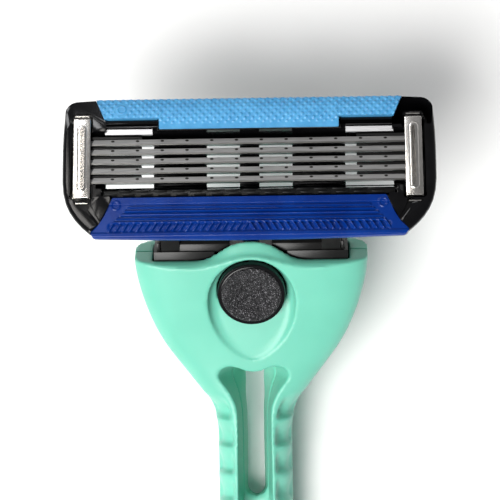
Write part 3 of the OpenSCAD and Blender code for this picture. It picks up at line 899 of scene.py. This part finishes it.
def cartridge_frame():
    """The frame, the parts moulded on it and the rests behind the blades."""
    obj = frame_blank()
    carve(obj, frame_cutters())
    finish_edges(obj)
    piece(obj, "cartridge", "black_gloss", GLOSS, "cartridge_frame")
    extras = frame_extras()
    reshape(extras, lambda bm: sharpen(bm, 35))
    piece(extras, "cartridge", "black_gloss", SATIN)
    rest = bmesh.new()
    for m in (-1, 1):
        slab = [(BAY_TOP - 0.2, -0.5), (BAY_TOP + 0.34, -0.24)]
        slab += [(BAY_TOP + 0.34, -0.6), (BAY_TOP - 0.2, -0.9)]
        bar(rest, slab, *span(m, 10.9, 16.25))
    sharpen(rest)
    piece(as_object("rear_rests", rest, CART), "cartridge", "black_gloss", SUPPORT)


cartridge_frame()

# ---------------------------------------------------------------- relief surfaces


def relief(name, columns, rows, spot, height, base):
    """A block whose top is a fine grid: spot gives each node's x and v, height its w."""
    bm = bmesh.new()
    bmesh.ops.create_grid(bm, x_segments=columns, y_segments=rows, size=1)
    for vert in bm.verts:
        x, v = spot(vert.co.x, (vert.co.y + 1) / 2)
        vert.co = (x, v, height(x, v))
    rim = [e for e in bm.edges if len(e.link_faces) == 1]
    skirt = bmesh.ops.extrude_edge_only(bm, edges=rim)["geom"]
    for vert in (g for g in skirt if isinstance(g, bmesh.types.BMVert)):
        vert.co.z = base
    edges = [g for g in skirt if isinstance(g, bmesh.types.BMEdge)]
    foot = [e for e in edges if all(v.co.z == base for v in e.verts)]
    bmesh.ops.holes_fill(bm, edges=foot, sides=0)
    return as_object(name, bm, CART)


def ring_mark(x, v, cx, cv, r, depth):
    """A raised moulding ring."""
    away = abs(math.hypot(x - cx, v - cv) - r)
    return depth * (1 - smoothstep(0.0, 0.13, away))


STRIP_TOP, STRIP_FOOT, NOTCH_FOOT = 8.26, 4.56, 5.81
STRIP_X, NOTCH_X = 17.3, 16.3
DIAMOND = 0.86
STRIP_MARK = (-14.35, 6.83)


def strip_spot(u, t):
    """Grid node of the strip, whose top edge has small teeth."""
    edge = 10.15
    x = u * STRIP_X
    foot = STRIP_FOOT + (NOTCH_FOOT - STRIP_FOOT) * smoothstep(edge - 0.06, edge + 0.1, abs(x))
    v = foot + (STRIP_TOP - foot) * t
    half_width = NOTCH_X + (v - NOTCH_FOOT) * (STRIP_X - NOTCH_X) / (STRIP_TOP - NOTCH_FOOT)
    v += 0.09 * math.cos(2 * math.pi * x / DIAMOND) * smoothstep(0.9, 1.0, t)
    return (x * min(1.0, half_width / STRIP_X) if abs(x) > edge else x), v


def strip_height(x, v):
    """Diamond bumps over a crowned strip, with a plain band along its foot."""
    crown = 0.28 + 0.24 * smoothstep(STRIP_FOOT, 6.2, v) - 0.3 * smoothstep(6.9, 8.3, v)
    drop = 0.6 * smoothstep(8.0, 8.4, v) ** 2
    wave = math.cos(2 * math.pi * x / DIAMOND) * math.cos(2 * math.pi * (v - 0.1) / DIAMOND)
    field = smoothstep(5.15, 5.4, v)
    bump = 0.13 * smoothstep(0.05, 1.0, wave) * field
    away = math.hypot(x - STRIP_MARK[0], v - STRIP_MARK[1])
    flat = 1 - smoothstep(0.75, 1.0, away) if x < 0 else 0.0
    bump = bump * (1 - flat) + ring_mark(x, v, *STRIP_MARK, 0.45, 0.07)
    return min(0.6, crown + bump) - drop


def lube_strip():
    obj = relief("lube_strip_relief", 400, 46, strip_spot, strip_height, -0.68)
    reshape(obj, lambda bm: sharpen(bm, 55))
    return piece(obj, "cartridge", "blue_strip", WAX, "lube_strip")


lube_strip()

GUARD_SIDE = [
    (-8.02, 17.2), (-7.9, 17.5), (-7.6, 17.72), (-7.4, 17.68), (-6.5, 16.8), (-5.5, 16.2), (-4.6, 15.8),
    (-3.6, 15.35), (-3.38, 15.1),
]
RIB_START, RIB_PITCH = 1.1, 0.44
FIN_START, FIN_PITCH = 0.35, 0.795


def guard_spot(u, t):
    """Grid node of the guard, whose lower edge bows down in the middle."""
    v = GUARD_BOTTOM - 0.02 + (GUARD_TOP - GUARD_BOTTOM + 0.02) * t
    x = u * lerp_table(GUARD_SIDE, v)
    return x, v - 0.3 * (1 - (x / 17.5) ** 2) * (1 - smoothstep(0.0, 0.14, t))


def guard_height(x, v):
    """Rail, five ribs, slanted fins and a rounded lip."""
    ax = abs(x)
    h = 0.02
    rail = smoothstep(-4.32, -4.22, v) * (1 - smoothstep(-3.48, -3.38, v))
    h += 0.2 * rail
    depth = GUARD_TOP - v
    rib_run = (depth - RIB_START) / RIB_PITCH
    if -0.3 < rib_run < 4.7:
        end = 13.55 + 0.42 * rib_run
        near = abs(rib_run - round(rib_run)) * RIB_PITCH
        ridge = 1 - smoothstep(0.05, 0.16, near)
        h += (0.24 * ridge - 0.05) * (1 - smoothstep(end - 0.08, end + 0.08, ax))
    if -7.5 < v < -6.35:
        fin_run = (ax + 0.62 * (v + 6.9) - FIN_START) / FIN_PITCH
        near = abs(fin_run - round(fin_run)) * FIN_PITCH
        ridge = 1 - smoothstep(0.08, 0.2, near)
        band = smoothstep(-7.42, -7.3, v) * (1 - smoothstep(-6.52, -6.4, v))
        h += (0.27 * ridge - 0.08) * band * (1 - smoothstep(15.6, 15.8, ax))
    h += 0.14 * smoothstep(0.0, 0.15, -7.45 - v)
    h -= 0.5 * smoothstep(7.75, 8.35, -v) ** 2
    h += ring_mark(ax, v, 14.95, -4.35, 0.46, 0.1)
    return min(0.3, h)


def rubber_guard():
    obj = relief("rubber_guard_relief", 450, 66, guard_spot, guard_height, -0.74)
    reshape(obj, lambda bm: sharpen(bm, 55))
    return piece(obj, "cartridge", "blue_rubber", RUBBER, "rubber_guard")


rubber_guard()

# ---------------------------------------------------------------- comb, blades and clips


def guard_comb():
    """A bar with two rows of short teeth."""
    bm = bmesh.new()
    top, foot = BAY_BOTTOM - 0.03, COMB_BOTTOM + 0.03
    profile = [(foot, -0.68), (top, -0.68), (top, -0.3), (top - 0.08, -0.16)]
    profile += [(foot + 0.08, -0.16), (foot, -0.24)]
    bar(bm, profile, -16.3, 16.3)
    pitch = 1.99
    for i in range(-8, 9):
        for low, shift in ((top - 0.36, 0.0), (foot + 0.06, 0.45)):
            x = i * pitch + shift
            if abs(x) > 15.6:
                continue
            tooth = [(low, -0.2), (low + 0.27, -0.2), (low + 0.22, 0.04), (low + 0.07, 0.04)]
            bar(bm, tooth, x - 0.68, x + 0.68)
    bmesh.ops.recalc_face_normals(bm, faces=bm.faces[:])
    round_edges(bm, 0.025, 2, 30)
    sharpen(bm)
    obj = as_object("guard_comb_teeth", bm, CART)
    return piece(obj, "cartridge", "black_gloss", SATIN, "guard_comb")


guard_comb()

BLADE_ANGLE = math.radians(21)
STRIP_W, STRIP_T = 0.79, 0.1
BLADE_X = 17.75
WELDS, WELD_PITCH = 12, 2.79


def blade(i):
    """A thin strip with a honed edge, slanted ends and a row of welds."""
    c, s = math.cos(BLADE_ANGLE), math.sin(BLADE_ANGLE)
    turn = Matrix(((1, 0, 0, 0), (0, c, s, EDGES[i]), (0, -s, c, 0), (0, 0, 0, 1)))
    bm = bmesh.new()
    hone = 0.17
    half = [(BLADE_X, 0.0), (BLADE_X, 0.12), (17.45, STRIP_W)]
    outline = half + [(-x, y) for x, y in reversed(half)]
    prism(bm, outline, -STRIP_T, 0)
    bmesh.ops.recalc_face_normals(bm, faces=bm.faces[:])
    # the hone: the front edge is cut down to a line
    whole = bm.verts[:] + bm.edges[:] + bm.faces[:]
    bmesh.ops.bisect_plane(bm, geom=whole, plane_co=(0, hone, 0), plane_no=(0, 1, 0))
    for vert in bm.verts:
        if vert.co.y < 0.1:
            vert.co.z = -0.055 if vert.co.z > -0.05 else -0.065
    bmesh.ops.recalc_face_normals(bm, faces=bm.faces[:])
    for face in bm.faces:
        if face.calc_center_median().y < hone:
            face.material_index = 1
    for k in range(WELDS):
        x = (k - (WELDS - 1) / 2) * WELD_PITCH
        mark = bmesh.ops.create_circle(bm, cap_ends=True, segments=14, radius=0.16)
        spot = Matrix.Translation((x, STRIP_W * 0.73, 0.006)) @ Matrix.Diagonal((1.3, 0.9, 1, 1))
        bmesh.ops.transform(bm, verts=mark["verts"], matrix=spot)
        disc = {f for v in mark["verts"] for f in v.link_faces}
        grown = bmesh.ops.extrude_face_region(bm, geom=list(disc))["geom"]
        low = [g for g in grown if isinstance(g, bmesh.types.BMVert)]
        bmesh.ops.translate(bm, verts=low, vec=(0, 0, -0.02))
        for f in {f for v in mark["verts"] + low for f in v.link_faces}:
            f.material_index = 2
    for face in bm.faces:
        face.smooth = False
    obj = as_object(f"blade_strip_{i + 1}", bm, CART @ turn)
    return piece(obj, f"blade_unit_{i + 1}", "blade_steel", [BLADE, EDGE, WELD], f"blade_{i + 1}")


for index in range(5):
    blade(index)


def clip(m, name, node):
    """A bent sheet with a pressed ridge, its legs through the frame and its feet turned in."""
    bm = bmesh.new()
    shift, rise = CLIP_SHIFT[m]
    x0, x1 = span(m, CLIP_IN, CLIP_OUT, shift)
    foot, head = CLIP_BOTTOM + rise, CLIP_TOP + rise
    low, high = 0.2, 0.5
    prism(bm, rounded(x0, x1, foot, head, 0.22, 4), low, high)
    bmesh.ops.recalc_face_normals(bm, faces=bm.faces[:])
    round_edges(bm, 0.09, 3, 40, lambda e: all(v.co.z > high - 0.01 for v in e.verts))
    mid = (x0 + x1) / 2
    ridge = rounded(mid - 0.58, mid + 0.58, foot + 0.7, head - 0.7, 0.57, 9)
    crest = rounded(mid - 0.2, mid + 0.2, foot + 1.1, head - 1.1, 0.19, 9)
    loops = []
    for share, lift in ((0.0, -0.02), (0.12, 0.04), (0.3, 0.09), (0.55, 0.115), (0.8, 0.12), (1.0, 0.12)):
        pairs = zip(ridge, crest)
        loops.append([(a + (c - a) * share, b + (d - b) * share, high + lift) for (a, b), (c, d) in pairs])
    rings(bm, loops)
    for v in (foot, head - 0.3):
        box(bm, x0 + 0.02, x1 - 0.02, v, v + 0.3, BACK_W - 0.3, low + 0.02)
    for v0, v1 in ((foot + 0.05, foot + 1.1), (head - 1.1, head - 0.05)):
        box(bm, x0 + 0.02, x1 - 0.02, v0, v1, BACK_W - 0.32, BACK_W - 0.04)
    box(bm, x0 + 0.2, x1 - 0.2, head + 0.36, head + 0.5, -0.3, 0.12)
    box(bm, x0 + 0.3, x1 - 0.3, foot - 0.62, foot - 0.5, -0.3, 0.16)
    bmesh.ops.recalc_face_normals(bm, faces=bm.faces[:])
    sharpen(bm, 30)
    obj = as_object(name, bm, CART)
    return piece(obj, "cartridge", "clip_aluminium", CLIP, node)


clip(-1, "end_clip_left", "clip_left")
clip(1, "end_clip_right", "clip_right")

# ---------------------------------------------------------------- connector


def connector():
    """The body in the head's socket, with its latch arms, pivot arms and pins."""
    base_s = -SOCK_S + 0.5
    bm = bmesh.new()
    box(bm, -SOCK_X + 0.15, SOCK_X - 0.15, base_s, 0.4, -CAV_N + 0.1, CAV_N - 0.1)
    obj = as_object("connector_body", bm, HEAD)
    room_x = BUTTON_R + 0.25
    room = cutter("room", HEAD, lambda bm: box(bm, -room_x, room_x, -9, 9, 0.8, 9))
    lengthways = HEAD @ Matrix.Rotation(-math.pi / 2, 4, "X")
    hole = arc(0, 1.0, 1.0, 0, 360, 32)[:-1]
    bore = cutter("bore", lengthways, lambda bm: prism(bm, hole, -9, 9))
    carve(obj, [room, bore])
    finish_edges(obj, 0.08)
    bm = bmesh.new()
    bm.from_mesh(obj.data)
    bmesh.ops.transform(bm, verts=bm.verts[:], matrix=HEAD.inverted())
    grown = bmesh.new()
    for m in (-1, 1):
        panel = [(0.3, -CAV_N + 0.5), (0.3, CAV_N - 0.3), (1.2, CAV_N - 0.5), (2.3, 0.2), (2.3, -0.6)]
        bar(grown, panel, *span(m, 2.4, ARM_I + 0.05))
        box(grown, *span(m, ARM_O - 0.6, ARM_O - 0.15), 0.3, 1.5, 0.3, CAV_N - 0.4)
        box(grown, *span(m, ARM_O + 0.1, ARM_O + 0.5), 0.3, 1.35, 0.3, CAV_N - 0.4)
        box(grown, *span(m, ARM_O - 0.7, ARM_O + 0.45), -6.6, base_s + 0.05, -1.2, 1.2)
        box(grown, *span(m, ARM_O - 0.7, ARM_O + 0.8), -6.6, -5.5, -1.2, 1.2)
        arm = [(0.0, -CAV_N + 0.4), (0.7, -CAV_N + 0.4), (PIVOT_S - 0.5, PIVOT_N - 0.95)]
        arm += arc(PIVOT_S, PIVOT_N, 1.0, -100, 100, 16) + [(0.0, CAV_N - 0.3)]
        bar(grown, arm, *span(m, ARM_I, ARM_O))
        bar(grown, arc(PIVOT_S, PIVOT_N, 0.7, 0, 360, 32)[:-1], *span(m, ARM_O - 0.3, ARM_O + 1.65))
    bmesh.ops.recalc_face_normals(grown, faces=grown.faces[:])
    round_edges(grown, 0.07, 2, 30)
    extra = bpy.data.meshes.new("extra")
    grown.to_mesh(extra)
    grown.free()
    bm.from_mesh(extra)
    bpy.data.meshes.remove(extra)
    sharpen(bm, 35)
    bpy.data.objects.remove(obj)
    yoke = as_object("connector_yoke", bm, HEAD)
    return piece(yoke, "connector", "black_plastic", SATIN, "connector")


connector()

# ---------------------------------------------------------------- finishes of the CAD nodes that stay

KEPT = {"ejector": SATIN, "plunger": SATIN, "plunger_spring": WIRE}
KEPT.update({f"blade_support_{i}": SUPPORT for i in range(1, 6)})
for node, made in KEPT.items():
    held = frame["nodes"][node]
    held.data.materials.clear()
    held.data.materials.append(made)

# ---------------------------------------------------------------- floor, lights and camera


CAMERA_PLACE = (0.0061, 0.0355, 0.270)
CAMERA_TURN = (4.286, 1.453, -0.684)
SENSOR_MM, LENS_MM = 36, 161.136


def lamp(name, place, size, power, colour=(1, 1, 1), aim=(0, 0.055, 0.012)):
    data = bpy.data.lights.new(name, "AREA")
    data.shape = "RECTANGLE"
    data.size, data.size_y = size
    data.energy = power
    data.color = colour
    obj = bpy.data.objects.new(name, data)
    obj.location = place
    obj.rotation_euler = (Vector(aim) - Vector(place)).to_track_quat("-Z", "Y").to_euler()
    bpy.context.scene.collection.objects.link(obj)


def floor():
    """A sheet of paper just under the part."""
    bm = bmesh.new()
    bmesh.ops.create_grid(bm, x_segments=2, y_segments=2, size=2.5)
    bmesh.ops.translate(bm, verts=bm.verts[:], vec=(0, 0, -0.00002))
    mesh = bpy.data.meshes.new("floor")
    bm.to_mesh(mesh)
    bm.free()
    obj = bpy.data.objects.new("floor", mesh)
    bpy.context.scene.collection.objects.link(obj)
    paper = Finish("paper", roughness=0.8, base_color=(1, 1, 1, 1))
    obj.data.materials.append(paper.material)


def world():
    """A room that is dim overhead and bright towards the walls."""
    sky = bpy.data.worlds.new("studio")
    bpy.context.scene.world = sky
    sky.use_nodes = True
    tree = sky.node_tree
    way = tree.nodes.new("ShaderNodeTexCoord")
    split = tree.nodes.new("ShaderNodeSeparateXYZ")
    fade = tree.nodes.new("ShaderNodeMapRange")
    tree.links.new(way.outputs["Generated"], split.inputs[0])
    tree.links.new(split.outputs["Z"], fade.inputs["Value"])
    for key, value in zip(("From Min", "From Max", "To Min", "To Max"), (0.0, 1.0, 0.4, 0.1)):
        fade.inputs[key].default_value = value
    glow = tree.nodes["Background"]
    glow.inputs["Color"].default_value = (0.97, 0.98, 1, 1)
    tree.links.new(fade.outputs[0], glow.inputs["Strength"])


def camera():
    """Above the neck, leaning a little towards the cartridge, with +Y at the top of the picture."""
    data = bpy.data.cameras.new("camera")
    data.sensor_width = SENSOR_MM
    data.lens = LENS_MM
    data.clip_start = 0.01
    obj = bpy.data.objects.new("camera", data)
    obj.location = CAMERA_PLACE
    obj.rotation_euler = [math.radians(a) for a in CAMERA_TURN]
    bpy.context.scene.collection.objects.link(obj)
    bpy.context.scene.camera = obj


floor()
world()
lamp("key", (-0.19, -0.19, 0.42), (0.32, 0.32), 3.7, (1, 0.99, 0.97))
lamp("window", (-0.19, 0.50, 0.40), (0.16, 0.12), 0.7, (0.97, 0.98, 1))
lamp("card", (-0.12, 0.27, 0.42), (0.08, 0.10), 0.2, (1, 0.97, 0.93))
camera()

scene = bpy.context.scene
scene.view_settings.view_transform = "Standard"
scene.view_settings.look = "None"
